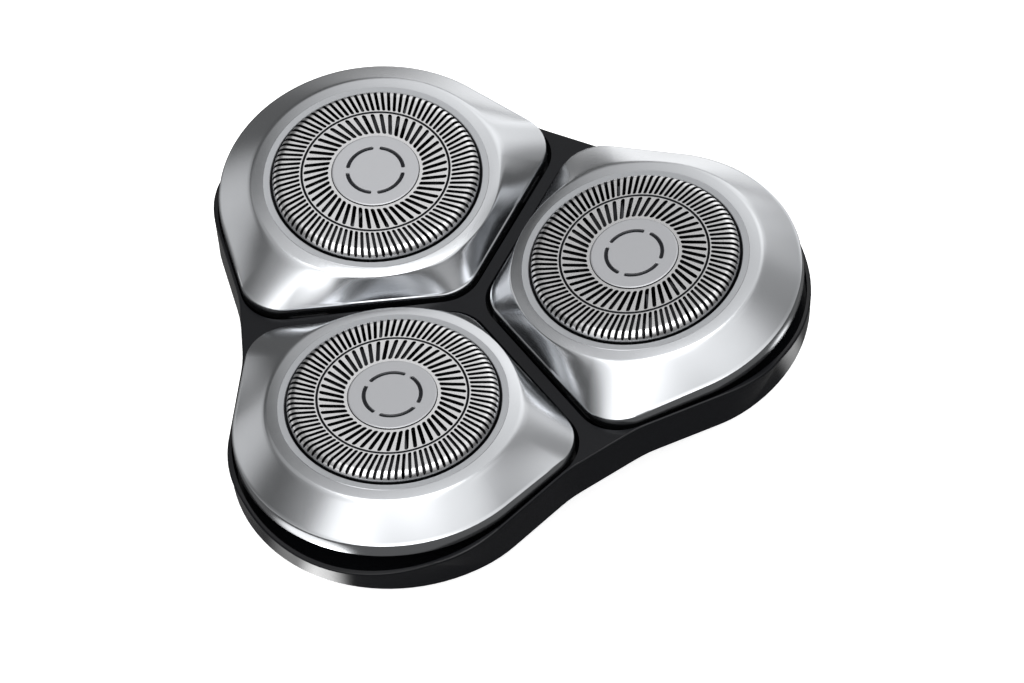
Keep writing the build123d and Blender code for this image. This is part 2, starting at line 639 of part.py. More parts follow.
# Retainer: a spoked ring that holds the guard against the lip and bears the cutter
with BuildPart() as retainer:
    with BuildSketch(Plane.XY.offset(-LEDGE_DROP)):
        Circle(RETAINER_R)
        Circle(RETAINER_R - RETAINER_RING, mode=Mode.SUBTRACT)
    extrude(amount=RETAINER_HEIGHT)
    with BuildSketch(Plane.XY.offset(-LEDGE_DROP)):
        Circle(BEARING_R + BEARING_WALL)
        with PolarLocations(0, UNIT_COUNT):
            with Locations((RETAINER_R / 2, 0)):
                Rectangle(RETAINER_R - RETAINER_RING, SPOKE_WIDTH)
        Circle(BEARING_R, mode=Mode.SUBTRACT)
    extrude(amount=SPOKE_THICKNESS)

# Guard: the slotted steel cap, with both rings of slots slanting one way
with BuildPart() as guard:
    with BuildSketch(Plane.XZ):
        with BuildLine() as section:
            Polyline(
                (0, -DISC_RECESS),
                (DISC_R + SEAT, -DISC_RECESS),
                (DISC_R + SEAT, 0),
                (GROOVE_R - GROOVE_WIDTH / 2, 0),
                (GROOVE_R, -GROOVE_DEPTH),
                (GROOVE_R + GROOVE_WIDTH / 2, 0),
                (SHOULDER_R, 0),
                (SHOULDER_MID_R, -SHOULDER_MID_DROP),
                (GUARD_R, -SHOULDER_DROP),
                (GUARD_R, GUARD_FLANGE - GUARD_HEIGHT),
                (GUARD_FLANGE_R, GUARD_FLANGE - GUARD_HEIGHT),
                (GUARD_FLANGE_R, -GUARD_HEIGHT),
                (GUARD_R - GUARD_WALL, -GUARD_HEIGHT),
                (GUARD_R - GUARD_WALL, -SHOULDER_DROP + GUARD_WALL / 2),
                (SHOULDER_R + GUARD_WALL / 2, -GUARD_PLATE),
                (INNER_SLOT_FROM - SEAT, -GUARD_PLATE),
                (INNER_SLOT_FROM - SEAT, -GUARD_PLATE - DISC_RECESS),
                (0, -GUARD_PLATE - DISC_RECESS),
                close=True,
            )
        make_face(section.edges())
    revolve(axis=Axis.Z)
    slot_rings = (
        (INNER_SLOTS, INNER_SLOT_FROM, INNER_SLOT_TO, INNER_SLOT_WIDTH, GUARD_PLATE),
        (OUTER_SLOTS, OUTER_SLOT_FROM, OUTER_SLOT_TO, OUTER_SLOT_WIDTH, SHOULDER_DROP - GUARD_WALL / 2),
    )
    for count, inner_r, outer_r, width, depth in slot_rings:
        near = sqrt(inner_r**2 - SLOT_OFFSET**2)
        far = sqrt(outer_r**2 - SLOT_OFFSET**2)
        with BuildSketch(Plane.XY):
            with PolarLocations(0, count):
                with Locations(((near + far) / 2, SLOT_OFFSET)):
                    Rectangle(far - near, width)
        extrude(amount=-depth, mode=Mode.SUBTRACT)

# Centre disc of a guard, with four arc grooves round its middle
with BuildPart() as guard_disc:
    with BuildSketch(Plane.XY.offset(-DISC_RECESS)):
        Circle(DISC_R)
    extrude(amount=DISC_THICKNESS)
    chamfer(guard_disc.edges().sort_by(Axis.Z)[-1], DISC_CHAMFER)
    with BuildSketch(Plane.XY.offset(DISC_THICKNESS - DISC_RECESS)):
        with PolarLocations(0, DISC_ARCS):
            with BuildLine() as arc:
                span = 360 / DISC_ARCS - DISC_ARC_GAP
                outer = CenterArc((0, 0), DISC_ARC_R + DISC_ARC_WIDTH / 2, -span / 2, span)
                inner = CenterArc((0, 0), DISC_ARC_R - DISC_ARC_WIDTH / 2, -span / 2, span)
                Line(outer @ 0, inner @ 0)
                Line(outer @ 1, inner @ 1)
            make_face(arc.edges())
    extrude(amount=-DISC_ARC_DEPTH, mode=Mode.SUBTRACT)

# Cutter: a steel disc with two rings of raked blades standing up to the guard
with BuildPart() as cutter:
    with BuildSketch(Plane.XY.offset(-CARRIER_DROP)):
        Circle(CUTTER_DISC_R)
        Circle(CUTTER_BORE_R, mode=Mode.SUBTRACT)
    extrude(amount=CUTTER_DISC)
    blade_rise = CUTTER_DISC_DROP - CUTTER_TOP_DROP
    for inner_r, outer_r in ((INNER_BLADE_FROM, INNER_BLADE_TO), (OUTER_BLADE_FROM, OUTER_BLADE_TO)):
        with BuildSketch(Plane.YZ.offset(inner_r)) as blade:
            with BuildLine() as edge:
                Polyline(
                    (0, -CUTTER_DISC_DROP),
                    (CUTTER_RAKE, -CUTTER_TOP_DROP),
                    (CUTTER_RAKE + CUTTER_BLADE_THICKNESS, -CUTTER_TOP_DROP),
                    (CUTTER_BLADE_THICKNESS, -CUTTER_DISC_DROP),
                    close=True,
                )
            make_face(edge.edges())
        one_blade = extrude(blade.sketch, amount=outer_r - inner_r, mode=Mode.PRIVATE)
        with PolarLocations(0, CUTTER_BLADES):
            add(one_blade)

# Cutter carrier: the plastic hub under a cutter, with the spindle's socket
with BuildPart() as carrier:
    with BuildSketch(Plane.XY.offset(-CARRIER_DROP)):
        Circle(CARRIER_R)
    extrude(amount=-CARRIER_DISC)
    with BuildSketch(Plane.XY.offset(-CARRIER_DROP)):
        Circle(CUTTER_BORE_R - SEAT)
    extrude(amount=CUTTER_DISC)
    with BuildSketch(Plane.XY.offset(-HUB_DROP)):
        Circle(HUB_R)
    extrude(amount=HUB_DROP - CARRIER_DROP)
    with BuildSketch(Plane.XY.offset(-HUB_DROP)):
        RegularPolygon(SOCKET_FLATS / 2, 6, major_radius=False)
    extrude(amount=HUB_DROP - SOCKET_TOP_DROP, mode=Mode.SUBTRACT)

# The guard of the second unit has its slots slanting the other way
with BuildPart() as mirrored_guard:
    mirror(guard.part, about=Plane.XZ)

for tag, unit_frame in enumerate(UNIT_FRAMES, start=1):
    unit_guard = mirrored_guard if tag == 2 else guard
    for piece, name in (
        (cover, "unit_cover"),
        (frame, "unit_frame"),
        (retainer, "retainer"),
        (unit_guard, "guard"),
        (guard_disc, "guard_disc"),
        (cutter, "cutter"),
        (carrier, "cutter_carrier"),
    ):
        export(placed(piece, unit_frame), f"{name}_{tag}")
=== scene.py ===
"""Looks of the rotary shaver head: slotted steel guards, silver covers and a black housing.

Sizes are in millimetres and angles in degrees where nothing else is said. Every piece is in the
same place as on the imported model, and becomes metres where its mesh is made. A unit's own frame
has its origin at the centre of the guard's top, x outward from the head's axis and z up along
the unit's leaning axis.
"""
import logging
from dataclasses import dataclass, field
from enum import Enum
from math import asin, atan2, cos, degrees, hypot, pi, radians, sin, sqrt

import bmesh
import bpy
from mathutils import Matrix, Vector


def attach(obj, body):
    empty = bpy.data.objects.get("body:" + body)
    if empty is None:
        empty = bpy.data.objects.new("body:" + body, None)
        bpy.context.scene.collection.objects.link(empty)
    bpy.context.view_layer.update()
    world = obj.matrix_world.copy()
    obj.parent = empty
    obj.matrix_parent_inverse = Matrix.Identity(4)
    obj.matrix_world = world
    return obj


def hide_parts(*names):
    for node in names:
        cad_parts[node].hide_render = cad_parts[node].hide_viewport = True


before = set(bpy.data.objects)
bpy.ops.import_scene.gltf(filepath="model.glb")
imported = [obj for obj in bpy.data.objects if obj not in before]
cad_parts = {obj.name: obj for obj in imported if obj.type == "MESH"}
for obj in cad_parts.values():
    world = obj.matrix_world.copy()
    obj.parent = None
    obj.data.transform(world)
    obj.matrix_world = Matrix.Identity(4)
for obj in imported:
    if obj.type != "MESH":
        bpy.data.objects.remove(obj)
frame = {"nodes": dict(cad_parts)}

log = logging.getLogger("shaver_head")

Spot = tuple[float, float]
Point = tuple[float, float, float]
Face = tuple[int, ...]

MM = 0.001
IMAGE_WIDTH_PX = 1024
SENSOR_MM = 36.0
UNIT_NUMBERS = (1, 2, 3)

# Driving sizes of a unit: the guard, the cover beside it, and the gap between two covers
GUARD_RADIUS = 11.0
COVER_SIDE = 3.3
COVER_GAP = 1.7

# Patterns of gloss and bump: the grain's octaves and how fast they fade, clouds of about 11 mm, and the
# width of the grain over its length on drawn metal
GRAIN_DETAIL = 3.0
GRAIN_FADE = 0.6
CLOUDS_PER_METRE = 90.0
CLOUD_DETAIL = 2.0
DRAWN_STRETCH = 0.05

# Meshes: vertices closer than the weld become one, and edges sharper than the angle stay sharp
WELD_MM = 0.0005
SHARP_ANGLE = 32.0
MAIN_MATERIAL, SECOND_MATERIAL = 0, 1
# Rows over a slot's round end, as shares of half its width
SLOT_END_SHARES = (0.0, 0.06, 0.25, 0.6, 1.0)
# Rows over the guard's rounded shoulder, as shares of its width
SHOULDER_SHARES = (0.0, 0.21, 0.42, 0.64, 0.8, 0.985, 1.0)
# Where the side of the guard's groove turns into its floor, as shares of half its width and its depth
GROOVE_TURN = (1 / 3, 0.85)
# Rows over the disc's arc grooves, as shares of half their width
ARC_GROOVE_SHARES = (-1.5, -1.13, -0.87, -0.6, 0.0, 0.6, 0.87, 1.13, 1.5)
# Rows down the cover's slope
SLOPE_SHARES = (0.03, 0.07, 0.12, 0.2, 0.3, 0.45, 0.6, 0.75, 0.88, 0.95, 1.0)
# Rows round the cover's upper and lower edges: how far in and how far up, as shares of their radius
UPPER_EDGE = ((0.9, 0.35), (0.35, 1 / 11), (0.08, -0.45), (0.0, -1.0))
LOWER_EDGE = ((0.0, 1.0), (0.3, 0.3), (1.0, 0.0))
# Steps along the cover's outline: degrees on its wide arc and its corners, parts of its straight stretches
ARC_STEP = 2.0
CORNER_STEP = 3.0
FLANK_PARTS = 8
SIDE_PARTS = 12


def linear(hex_colour: str) -> tuple[float, float, float, float]:
    """Turn an sRGB hex colour into the linear one that a shader takes, by the standard's curve.

    Args:
        hex_colour: Six hex digits, with a hash in front.

    Returns:
        Linear red, green, blue and an alpha of one.
    """
    digits = hex_colour.lstrip("#")
    parts = [int(digits[i : i + 2], 16) / 255 for i in (0, 2, 4)]
    red, green, blue = [p / 12.92 if p <= 0.04045 else ((p + 0.055) / 1.055) ** 2.4 for p in parts]
    return (red, green, blue, 1.0)


def add_node(
    tree: bpy.types.NodeTree, kind: str, settings: dict | None = None, links: dict | None = None
) -> bpy.types.Node:
    """Add a node with its settings and its incoming links.

    Args:
        tree: The node tree.
        kind: The node's type name.
        settings: Values by attribute name, or by the name or number of an input.
        links: Output sockets by the name or number of the input that each goes into.

    Returns:
        The new node.
    """
    node = tree.nodes.new(kind)
    for name, value in (settings or {}).items():
        if hasattr(node, str(name)):
            setattr(node, name, value)
        else:
            node.inputs[name].default_value = value
    for name, socket in (links or {}).items():
        tree.links.new(socket, node.inputs[name])
    return node


class Texture(Enum):
    """How a surface was made. Only a drawn one has its grain stretched into lines."""

    MOULDED = "moulded"
    BLASTED = "blasted"
    DRAWN = "drawn"


@dataclass(frozen=True)
class Finish:
    """One real material and its surface.

    Attributes:
        name: The material's name.
        colour: Base colour as sRGB hex.
        texture: How the surface was made.
        metallic: One for bare or plated metal.
        roughness: Mean roughness.
        spread: How far the roughness wanders either side of its mean.
        grain_mm: Size of the surface's grain or line spacing in millimetres.
        bump_mm: Height of the grain in millimetres.
        ior: Index of refraction, for what isn't metal.
        shine: Specular level, for what isn't metal.
        tint: A second colour that clouds over the first, as sRGB hex, or none.
    """

    name: str
    colour: str
    texture: Texture
    metallic: float
    roughness: float
    spread: float
    grain_mm: float
    bump_mm: float
    ior: float = 1.5
    shine: float = 0.5
    tint: str | None = None

    def build(self) -> bpy.types.Material:
        """Make the Blender material.

        Returns:
            The material, with its nodes.
        """
        material = bpy.data.materials.new(self.name)
        material.use_nodes = True
        tree = material.node_tree
        tree.nodes.clear()
        place = add_node(tree, "ShaderNodeTexCoord").outputs["Object"]
        grain = self.grain(tree, place)
        limits = {"To Min": self.roughness - self.spread, "To Max": self.roughness + self.spread}
        gloss = add_node(tree, "ShaderNodeMapRange", limits, {"Value": grain})
        height = {"Strength": 1.0, "Distance": self.bump_mm * MM}
        bump = add_node(tree, "ShaderNodeBump", height, {"Height": grain})
        shader = add_node(
            tree,
            "ShaderNodeBsdfPrincipled",
            {"Base Color": linear(self.colour), "Metallic": self.metallic},
            {"Roughness": gloss.outputs["Result"], "Normal": bump.outputs["Normal"]},
        )
        if not self.metallic:
            shader.inputs["IOR"].default_value = self.ior
            shader.inputs["Specular IOR Level"].default_value = self.shine
        if self.tint:
            clouds = {"Scale": CLOUDS_PER_METRE, "Detail": CLOUD_DETAIL}
            cloud = add_node(tree, "ShaderNodeTexNoise", clouds, {"Vector": place})
            blend = add_node(
                tree,
                "ShaderNodeMix",
                {"data_type": "RGBA", 6: linear(self.colour), 7: linear(self.tint)},
                {"Factor": cloud.outputs["Fac"]},
            )
            tree.links.new(blend.outputs[2], shader.inputs["Base Color"])
        add_node(tree, "ShaderNodeOutputMaterial", {}, {"Surface": shader.outputs["BSDF"]})
        return material

    def grain(self, tree: bpy.types.NodeTree, place: bpy.types.NodeSocket) -> bpy.types.NodeSocket:
        """Make the surface's pattern.

        Args:
            tree: The material's nodes.
            place: Where on the object each point is, in metres.

        Returns:
            A socket from zero to one.
        """
        if self.texture is Texture.DRAWN:
            stretch = {"operation": "MULTIPLY", 1: (1.0, DRAWN_STRETCH, 1.0)}
            place = add_node(tree, "ShaderNodeVectorMath", stretch, {0: place}).outputs["Vector"]
        pattern = {"Scale": 1 / (self.grain_mm * MM), "Detail": GRAIN_DETAIL, "Roughness": GRAIN_FADE}
        return add_node(tree, "ShaderNodeTexNoise", pattern, {"Vector": place}).outputs["Fac"]


# Silver plating on moulded ABS mirrors softly: broad smooth gradients with clean ends
PLATED_ABS = Finish(
    "satin_plated_abs",
    "#c4c6c9",
    Texture.MOULDED,
    metallic=1.0,
    roughness=0.23,
    spread=0.02,
    grain_mm=0.9,
    bump_mm=0.0001,
)
# The lip is etched in the mould, so it looks flat and dull beside the smooth plating
ETCHED_LIP = Finish(
    "etched_plated_abs",
    "#acaeb1",
    Texture.BLASTED,
    metallic=1.0,
    roughness=0.5,
    spread=0.05,
    grain_mm=0.12,
    bump_mm=0.004,
)
# Rolled and polished stainless strip keeps a faint grain and a wide soft glint
STAMPED_STEEL = Finish(
    "polished_stainless_steel",
    "#dededf",
    Texture.BLASTED,
    metallic=1.0,
    roughness=0.28,
    spread=0.04,
    grain_mm=0.1,
    bump_mm=0.0015,
)
# The disc is blasted, so it is one even grey with no mirror in it
BLASTED_DISC = Finish(
    "blasted_aluminium",
    "#b4b5b8",
    Texture.BLASTED,
    metallic=1.0,
    roughness=0.5,
    spread=0.05,
    grain_mm=0.08,
    bump_mm=0.004,
)
# Painted shade: a dull dark colour painted on the slots' walls, the pressed grooves, the disc's bevel and the
# guard's wall and underside, where shade falls
PAINTED_SHADE_GROOVE = Finish(
    "painted_shade_groove",
    "#2c2d30",
    Texture.BLASTED,
    metallic=1.0,
    roughness=0.6,
    spread=0.05,
    grain_mm=0.08,
    bump_mm=0.003,
)
# High-gloss black ABS shows the lamps as long soft streaks
GLOSS_ABS = Finish(
    "gloss_black_abs",
    "#121316",
    Texture.MOULDED,
    metallic=0.0,
    roughness=0.2,
    spread=0.03,
    grain_mm=0.8,
    bump_mm=0.0006,
    ior=1.53,
    shine=0.2,
)
# Spark-eroded moulds leave the hidden black parts evenly matt
MATT_ABS = Finish(
    "spark_eroded_black_abs",
    "#1b1c1e",
    Texture.BLASTED,
    metallic=0.0,
    roughness=0.5,
    spread=0.06,
    grain_mm=0.15,
    bump_mm=0.006,
    ior=1.53,
)
# Natural acetal is milky and waxy
ACETAL = Finish(
    "natural_acetal",
    "#dcdad0",
    Texture.MOULDED,
    metallic=0.0,
    roughness=0.35,
    spread=0.05,
    grain_mm=0.5,
    bump_mm=0.001,
    ior=1.48,
    tint="#d3cfc0",
)
# Drawn wire is bright with fine marks along it
DRAWN_WIRE = Finish(
    "drawn_spring_wire",
    "#a9aaac",
    Texture.DRAWN,
    metallic=1.0,
    roughness=0.25,
    spread=0.06,
    grain_mm=0.06,
    bump_mm=0.001,
)
# Ground blade steel, painted dark as painted shade from the guard over it, so the blades look dark between
# the bright lands of the guard
PAINTED_SHADE_BLADE_STEEL = Finish(
    "blade_steel_painted_shade",
    "#4c4d50",
    Texture.DRAWN,
    metallic=1.0,
    roughness=0.4,
    spread=0.08,
    grain_mm=0.08,
    bump_mm=0.002,
)
# Zinc plating is bluish grey, with a gloss that varies a little
ZINC_STEEL = Finish(
    "zinc_plated_steel",
    "#9a9da1",
    Texture.BLASTED,
    metallic=1.0,
    roughness=0.34,
    spread=0.08,
    grain_mm=0.2,
    bump_mm=0.002,
)


def crossing(normal_a: float, reach_a: float, normal_b: float, reach_b: float) -> Spot:
    """Find where two lines meet.

    Args:
        normal_a: Angle of the first line's normal in degrees.
        reach_a: Distance of the first line from the origin along its normal.
        normal_b: Angle of the second line's normal in degrees.
        reach_b: Distance of the second line from the origin along its normal.

    Returns:
        The point's x and y.
    """
    ax, ay = cos(radians(normal_a)), sin(radians(normal_a))
    bx, by = cos(radians(normal_b)), sin(radians(normal_b))
    det = ax * by - ay * bx
    return ((reach_a * by - reach_b * ay) / det, (ax * reach_b - bx * reach_a) / det)


def arc_points(centre: Spot, radius: float, start: float, end: float, step: float) -> list[Spot]:
    """Sample an arc.

    Args:
        centre: The arc's centre.
        radius: Its radius.
        start: Its first angle in degrees.
        end: Its last angle in degrees, larger than the first.
        step: About the angle between two points.

    Returns:
        The points, both ends included.
    """
    count = round((end - start) / step)
    angles = [radians(start + (end - start) * k / count) for k in range(count + 1)]
    return [(centre[0] + radius * cos(a), centre[1] + radius * sin(a)) for a in angles]


def grid_faces(rows: int, columns: int) -> list[Face]:
    """Join the rows of a grid whose columns close into a ring.

    Args:
        rows: How many rows of points there are.
        columns: How many points each row has.

    Returns:
        The four corners of each face.
    """
    faces = []
    for row in range(rows - 1):
        near, far = row * columns, (row + 1) * columns
        for k in range(columns):
            n = (k + 1) % columns
            faces.append((near + k, near + n, far + n, far + k))
    return faces


@dataclass(frozen=True)
class UnitPlace:
    """Where one of the three units stands in the head.

    Attributes:
        number: The unit's number, from one.
        radius: Distance of the guard's centre from the head's axis.
        top: Height of the guard's top.
        lean: Angle that the unit leans towards the head's axis.
    """

    number: int
    radius: float = (GUARD_RADIUS + COVER_SIDE + COVER_GAP / 2) / sin(pi / 3)
    top: float = 16.2
    lean: float = 3.3

    def matrix(self) -> Matrix:
        """Work out where the unit stands.

        Returns:
            The matrix from the unit's frame in millimetres to the head's in metres.
        """
        azimuth = Matrix.Rotation(radians(360 / len(UNIT_NUMBERS) * (self.number - 1)), 4, "Z")
        shift = Matrix.Translation((self.radius, 0, self.top))
        tip = Matrix.Rotation(radians(-self.lean), 4, "Y")
        return Matrix.Scale(MM, 4) @ azimuth @ shift @ tip

    def metres(self, points: list[Point]) -> list[Point]:
        """Return a unit's points in the head's frame, in metres."""
        matrix = self.matrix()
        return [tuple(matrix @ Vector(p)) for p in points]


@dataclass
class MeshParts:
    """What a unit's mesh is made of.

    Attributes:
        points: Vertices in the unit's frame.
        faces: Vertex numbers of each face.
        marks: Material number of each face.
    """

    points: list[Point] = field(default_factory=list)
    faces: list[Face] = field(default_factory=list)
    marks: list[int] = field(default_factory=list)

    def add_face(self, corners: Face, mark: int) -> None:
        """Add a face and its material number."""
        self.faces.append(corners)
        self.marks.append(mark)

    def to_object(self, name: str, place: UnitPlace, finishes: list[bpy.types.Material]) -> bpy.types.Object:
        """Make a smooth-shaded object with its sharp edges kept.

        Args:
            name: The object's name.
            place: Where the unit stands.
            finishes: The materials, in the order of their numbers.

        Returns:
            The object, linked to the scene.
        """
        mesh = bpy.data.meshes.new(name)
        mesh.from_pydata(place.metres(self.points), [], self.faces)
        for material in finishes:
            mesh.materials.append(material)
        mesh.polygons.foreach_set("material_index", self.marks)
        shape = bmesh.new()
        shape.from_mesh(mesh)
        bmesh.ops.remove_doubles(shape, verts=shape.verts, dist=WELD_MM * MM)
        bmesh.ops.dissolve_degenerate(shape, edges=shape.edges, dist=WELD_MM * MM)
        bmesh.ops.recalc_face_normals(shape, faces=shape.faces)
        shape.to_mesh(mesh)
        shape.free()
        mesh.shade_smooth()
        mesh.set_sharp_from_angle(angle=radians(SHARP_ANGLE))
        item = bpy.data.objects.new(name, mesh)
        bpy.context.scene.collection.objects.link(item)
        return item


@dataclass(frozen=True)
class SlotRing:
    """One ring of slots through a guard.

    Attributes:
        count: How many slots it has.
        width: Their width.
        start: Radius where they start.
        end: Radius where they end, round over the shoulder where it reaches it.
        land_columns: Mesh columns across the metal between two slots.
    """

    count: int
    width: float
    start: float
    end: float
    land_columns: int = 3

    def half_width(self, radius: float) -> float:
        """Work out half a slot's width, which narrows to nothing at its round ends.

        Args:
            radius: Distance from the guard's centre.

        Returns:
            Half the width there, or zero past the ends.
        """
        edge = min(radius - self.start, self.end - radius)
        half = self.width / 2
        if edge <= 0:
            return 0.0
        return half if edge >= half else sqrt(half**2 - (half - edge) ** 2)

    def rows(self) -> list[float]:
        """Choose the mesh rows that the slots' round ends and straight sides need.

        Returns:
            Their radii, from the centre outward.
        """
        half = self.width / 2
        first = [self.start + half * share for share in SLOT_END_SHARES]
        last = [self.end - half * share for share in reversed(SLOT_END_SHARES)]
        middle = (first[-1] + last[0]) / 2
        return first + [middle] + last


@dataclass(frozen=True)
class Band:
    """One ring of slots with the part of the cap round it.

    Attributes:
        ring: The slots.
        top: Radius and height of each row of the top.
        bottom: The same for the underside.
        phase: Angle of the first slot in degrees.
        side: One, or minus one where the slots slant the other way.
    """

    ring: SlotRing
    top: list[Spot]
    bottom: list[Spot]
    phase: float
    side: int

    def middle(self, row: int) -> float:
        """Return the radius halfway between a row and the next."""
        return (self.top[row][0] + self.top[row + 1][0]) / 2


@dataclass
class SlottedGuard:
    """The stamped steel cap of a unit, with two rings of slanted slots.

    Attributes:
        inner: The inner ring of slots.
        outer: The outer ring of slots.
        slot_offset: How far every slot's line passes from the centre.
        radius: Outer radius of the cap.
        shoulder: Width of the rounded shoulder.
        shoulder_drop: Height of the rounded shoulder.
        groove: Radius of the groove between the rings.
        groove_half: Half the groove's width.
        groove_depth: Depth of the groove.
        plate: Thickness of the steel.
        hub: Radius where the plate meets the centre disc.
        lap: How far the plate reaches in under the centre disc.
        recess: How far the plate under the disc lies below the top.
        depth: Height of the cap.
        flange: Width of the cap's hidden flange.
        phases: Angle of the first slot of the inner and outer ring, for each unit.
        mirrored_unit: The unit whose slots slant the other way.
    """

    inner: SlotRing = SlotRing(count=50, width=0.42, start=4.98, end=7.62)
    outer: SlotRing = SlotRing(count=92, width=0.35, start=8.06, end=10.96)
    slot_offset: float = 1.63
    radius: float = GUARD_RADIUS
    shoulder: float = 0.95
    shoulder_drop: float = 0.89
    groove: float = 7.83
    groove_half: float = 0.13
    groove_depth: float = 0.15
    plate: float = 0.4
    hub: float = 4.69
    lap: float = 0.6
    recess: float = 0.35
    depth: float = 2.4
    flange: float = 0.6
    phases: dict[int, Spot] = field(
        default_factory=lambda: {1: (2.74, 3.37), 2: (4.11, 0.89), 3: (3.80, 0.42)}
    )
    mirrored_unit: int = 2

    def shoulder_height(self, radius: float) -> float:
        """Work out the height of the cap's top on its flat or its shoulder.

        Args:
            radius: Distance from the guard's centre.

        Returns:
            The height, zero on the flat and less on the shoulder.
        """
        start = self.radius - self.shoulder
        if radius <= start:
            return 0.0
        turn = asin(min(1.0, (radius - start) / self.shoulder))
        return -self.shoulder_drop * (1 - cos(turn))

    def underside(self, radius: float, height: float) -> Spot:
        """Find the point of the plate's underside that lies below a point of its top.

        Args:
            radius: Distance of the top's point from the guard's centre.
            height: Its height.

        Returns:
            Radius and height of the point below.
        """
        start = self.radius - self.shoulder
        if radius <= start:
            return (radius, height - self.plate)
        turn = asin(min(1.0, (radius - start) / self.shoulder))
        return (radius - self.plate * sin(turn), height - self.plate * cos(turn))

    def bands(self, number: int) -> list[Band]:
        """Draw the profile of each part of the cap.

        Args:
            number: The unit's number.

        Returns:
            The inner band, from under the disc to the groove, and the outer one, out to the flange.
        """
        groove, half, deep = self.groove, self.groove_half, self.groove_depth
        turn, turn_drop = half * GROOVE_TURN[0], deep * GROOVE_TURN[1]
        top_in = [(self.hub - self.lap, -self.recess), (self.hub, -self.recess), (self.hub, 0.0)]
        top_in += [(r, 0.0) for r in self.inner.rows()]
        top_in += [(groove - half, 0.0), (groove - turn, -turn_drop), (groove, -deep)]
        under_in = [self.underside(r, z) for r, z in top_in]

        start = self.radius - self.shoulder
        rows = sorted(self.outer.rows() + [start + self.shoulder * share for share in SHOULDER_SHARES])
        top_out = [(groove, -deep), (groove + turn, -turn_drop), (groove + half, 0.0)]
        top_out += [(r, self.shoulder_height(r)) for r in rows]
        under_out = [self.underside(r, z) for r, z in top_out]
        # The cap's wall goes down to the flange, and the inside of the wall goes straight down
        rim, inside, ledge = self.radius + self.flange, self.radius - self.plate, self.plate - self.depth
        top_out += [(self.radius, ledge), (rim, ledge), (rim, -self.depth)]
        under_out += [(inside, ledge), (inside, -self.depth), (inside, -self.depth)]

        side = -1 if number == self.mirrored_unit else 1
        phase_in, phase_out = self.phases[number]
        return [
            Band(self.inner, top_in, under_in, phase_in, side),
            Band(self.outer, top_out, under_out, phase_out, side),
        ]

    def angles(self, band: Band, radius: float) -> list[float]:
        """Work out a row's columns: each slot's two edges, then the land after it.

        Args:
            band: The part of the cap.
            radius: Radius of the row's top.

        Returns:
            The angle of each column in radians.
        """
        ring = band.ring
        half = ring.half_width(radius)
        pitch = 2 * pi / ring.count
        low = asin((self.slot_offset - half) / radius)
        high = asin((self.slot_offset + half) / radius)
        gap = pitch - (high - low)
        row = []
        for slot in range(ring.count):
            base = radians(band.phase) + pitch * slot
            row += [base + low, base + high]
            row += [base + high + gap * k / ring.land_columns for k in range(1, ring.land_columns)]
        return [band.side * angle for angle in row]

    def build(
        self, place: UnitPlace, steel: bpy.types.Material, shade_paint: bpy.types.Material
    ) -> bpy.types.Object:
        """Make the cap of one unit.

        Args:
            place: Where the unit stands.
            steel: The cap's material.
            shade_paint: The painted-shade material: a dark colour painted on the slots' walls, the groove,
                the wall and the underside, where shade falls.

        Returns:
            The object.
        """
        parts = MeshParts()
        for band in self.bands(place.number):
            self.add_band(parts, band)
        guard = parts.to_object(f"slotted_guard_{place.number}", place, [steel, shade_paint])
        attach(guard, f"unit_{place.number}")
        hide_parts(f"guard_{place.number}")
        return guard

    def add_band(self, parts: MeshParts, band: Band) -> None:
        """Add one part of the cap: top, underside, slot walls and the ends of the plate.

        Args:
            parts: The cap's mesh so far, added to.
            band: The part of the cap.
        """
        first = len(parts.points)
        rows = len(band.top)
        group = band.ring.land_columns + 1
        columns = band.ring.count * group
        for profile in (band.top, band.bottom):
            for (r, z), (top_r, _) in zip(profile, band.top):
                for angle in self.angles(band, top_r):
                    parts.points.append((r * cos(angle), r * sin(angle), z))

        def at(level: int, row: int, column: int) -> int:
            """Return a vertex number, at level zero on the top and one on the underside."""
            return first + (level * rows + row) * columns + column % columns

        # The underside, the slots' walls, the groove and the cap's wall and flange take the painted shade, a
        # dark colour painted where shade falls.
        # The first column of each group is the slot: it has two walls and no top, and no width past its ends
        for row in range(rows - 1):
            middle = band.middle(row)
            top_mark = SECOND_MATERIAL if self.painted_shade_at(middle) else MAIN_MATERIAL
            slotted = band.ring.half_width(middle) > 0
            for column in range(columns):
                if column % group:
                    corners = ((row, column), (row + 1, column), (row + 1, column + 1), (row, column + 1))
                    for level, mark in ((0, top_mark), (1, SECOND_MATERIAL)):
                        parts.add_face(tuple(at(level, *corner) for corner in corners), mark)
                if slotted and column % group < 2:
                    corners = ((0, row), (0, row + 1), (1, row + 1), (1, row))
                    parts.add_face(tuple(at(*corner, column) for corner in corners), SECOND_MATERIAL)
        for row in (0, rows - 1):
            for column in range(columns):
                if column % group:
                    corners = ((0, column), (0, column + 1), (1, column + 1), (1, column))
                    face = tuple(at(level, row, k) for level, k in corners)
                    parts.add_face(face, MAIN_MATERIAL)

    def painted_shade_at(self, radius: float) -> bool:
        """Return whether the top lies in the groove, or on the cap's wall or flange, which are painted dark
        as painted shade.
        """
        return abs(radius - self.groove) < self.groove_half or radius > self.radius - WELD_MM


